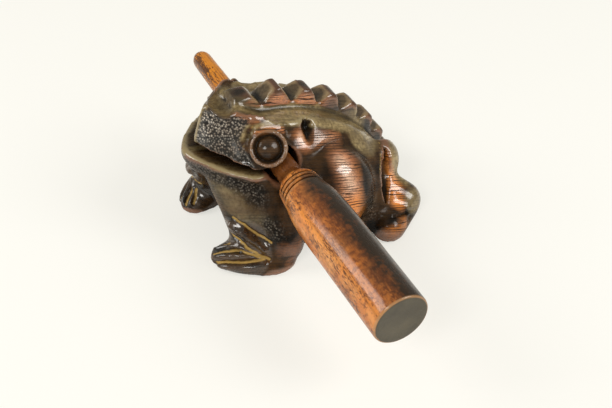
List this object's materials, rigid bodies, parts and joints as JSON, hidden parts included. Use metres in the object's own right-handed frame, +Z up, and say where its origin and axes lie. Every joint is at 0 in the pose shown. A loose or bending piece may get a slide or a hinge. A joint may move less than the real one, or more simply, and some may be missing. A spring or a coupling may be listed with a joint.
{
  "type": "frog guiro",
  "caption": "Carved wooden frog with a toothed spine and a hollow mouth, and a turned striker that is kept crosswise in the mouth and rubbed along the teeth to croak.",
  "frame": {"origin": "on the flat underside of the frog's belly, at the plane that it stands on", "axes": "+Z up, -Y the way the frog looks, +X the frog's left, where the striker's handle comes out"},
  "size_m": [0.1667, 0.0914, 0.0608],
  "materials": {
    "stained_wood": "dark stain under a worn satin lacquer",
    "striker_wood": "orange-brown stain under a satin lacquer"
  },
  "bodies": {
    "frog": {"frog_body": "stained_wood"},
    "striker": {"striker": "striker_wood"}
  },
  "joints": [
    {"name": "striker_slide", "type": "slide", "parent": "frog", "child": "striker", "axis": [0.9985, 0.015, -0.0522], "range_m": [0, 0.09]}
  ]
}
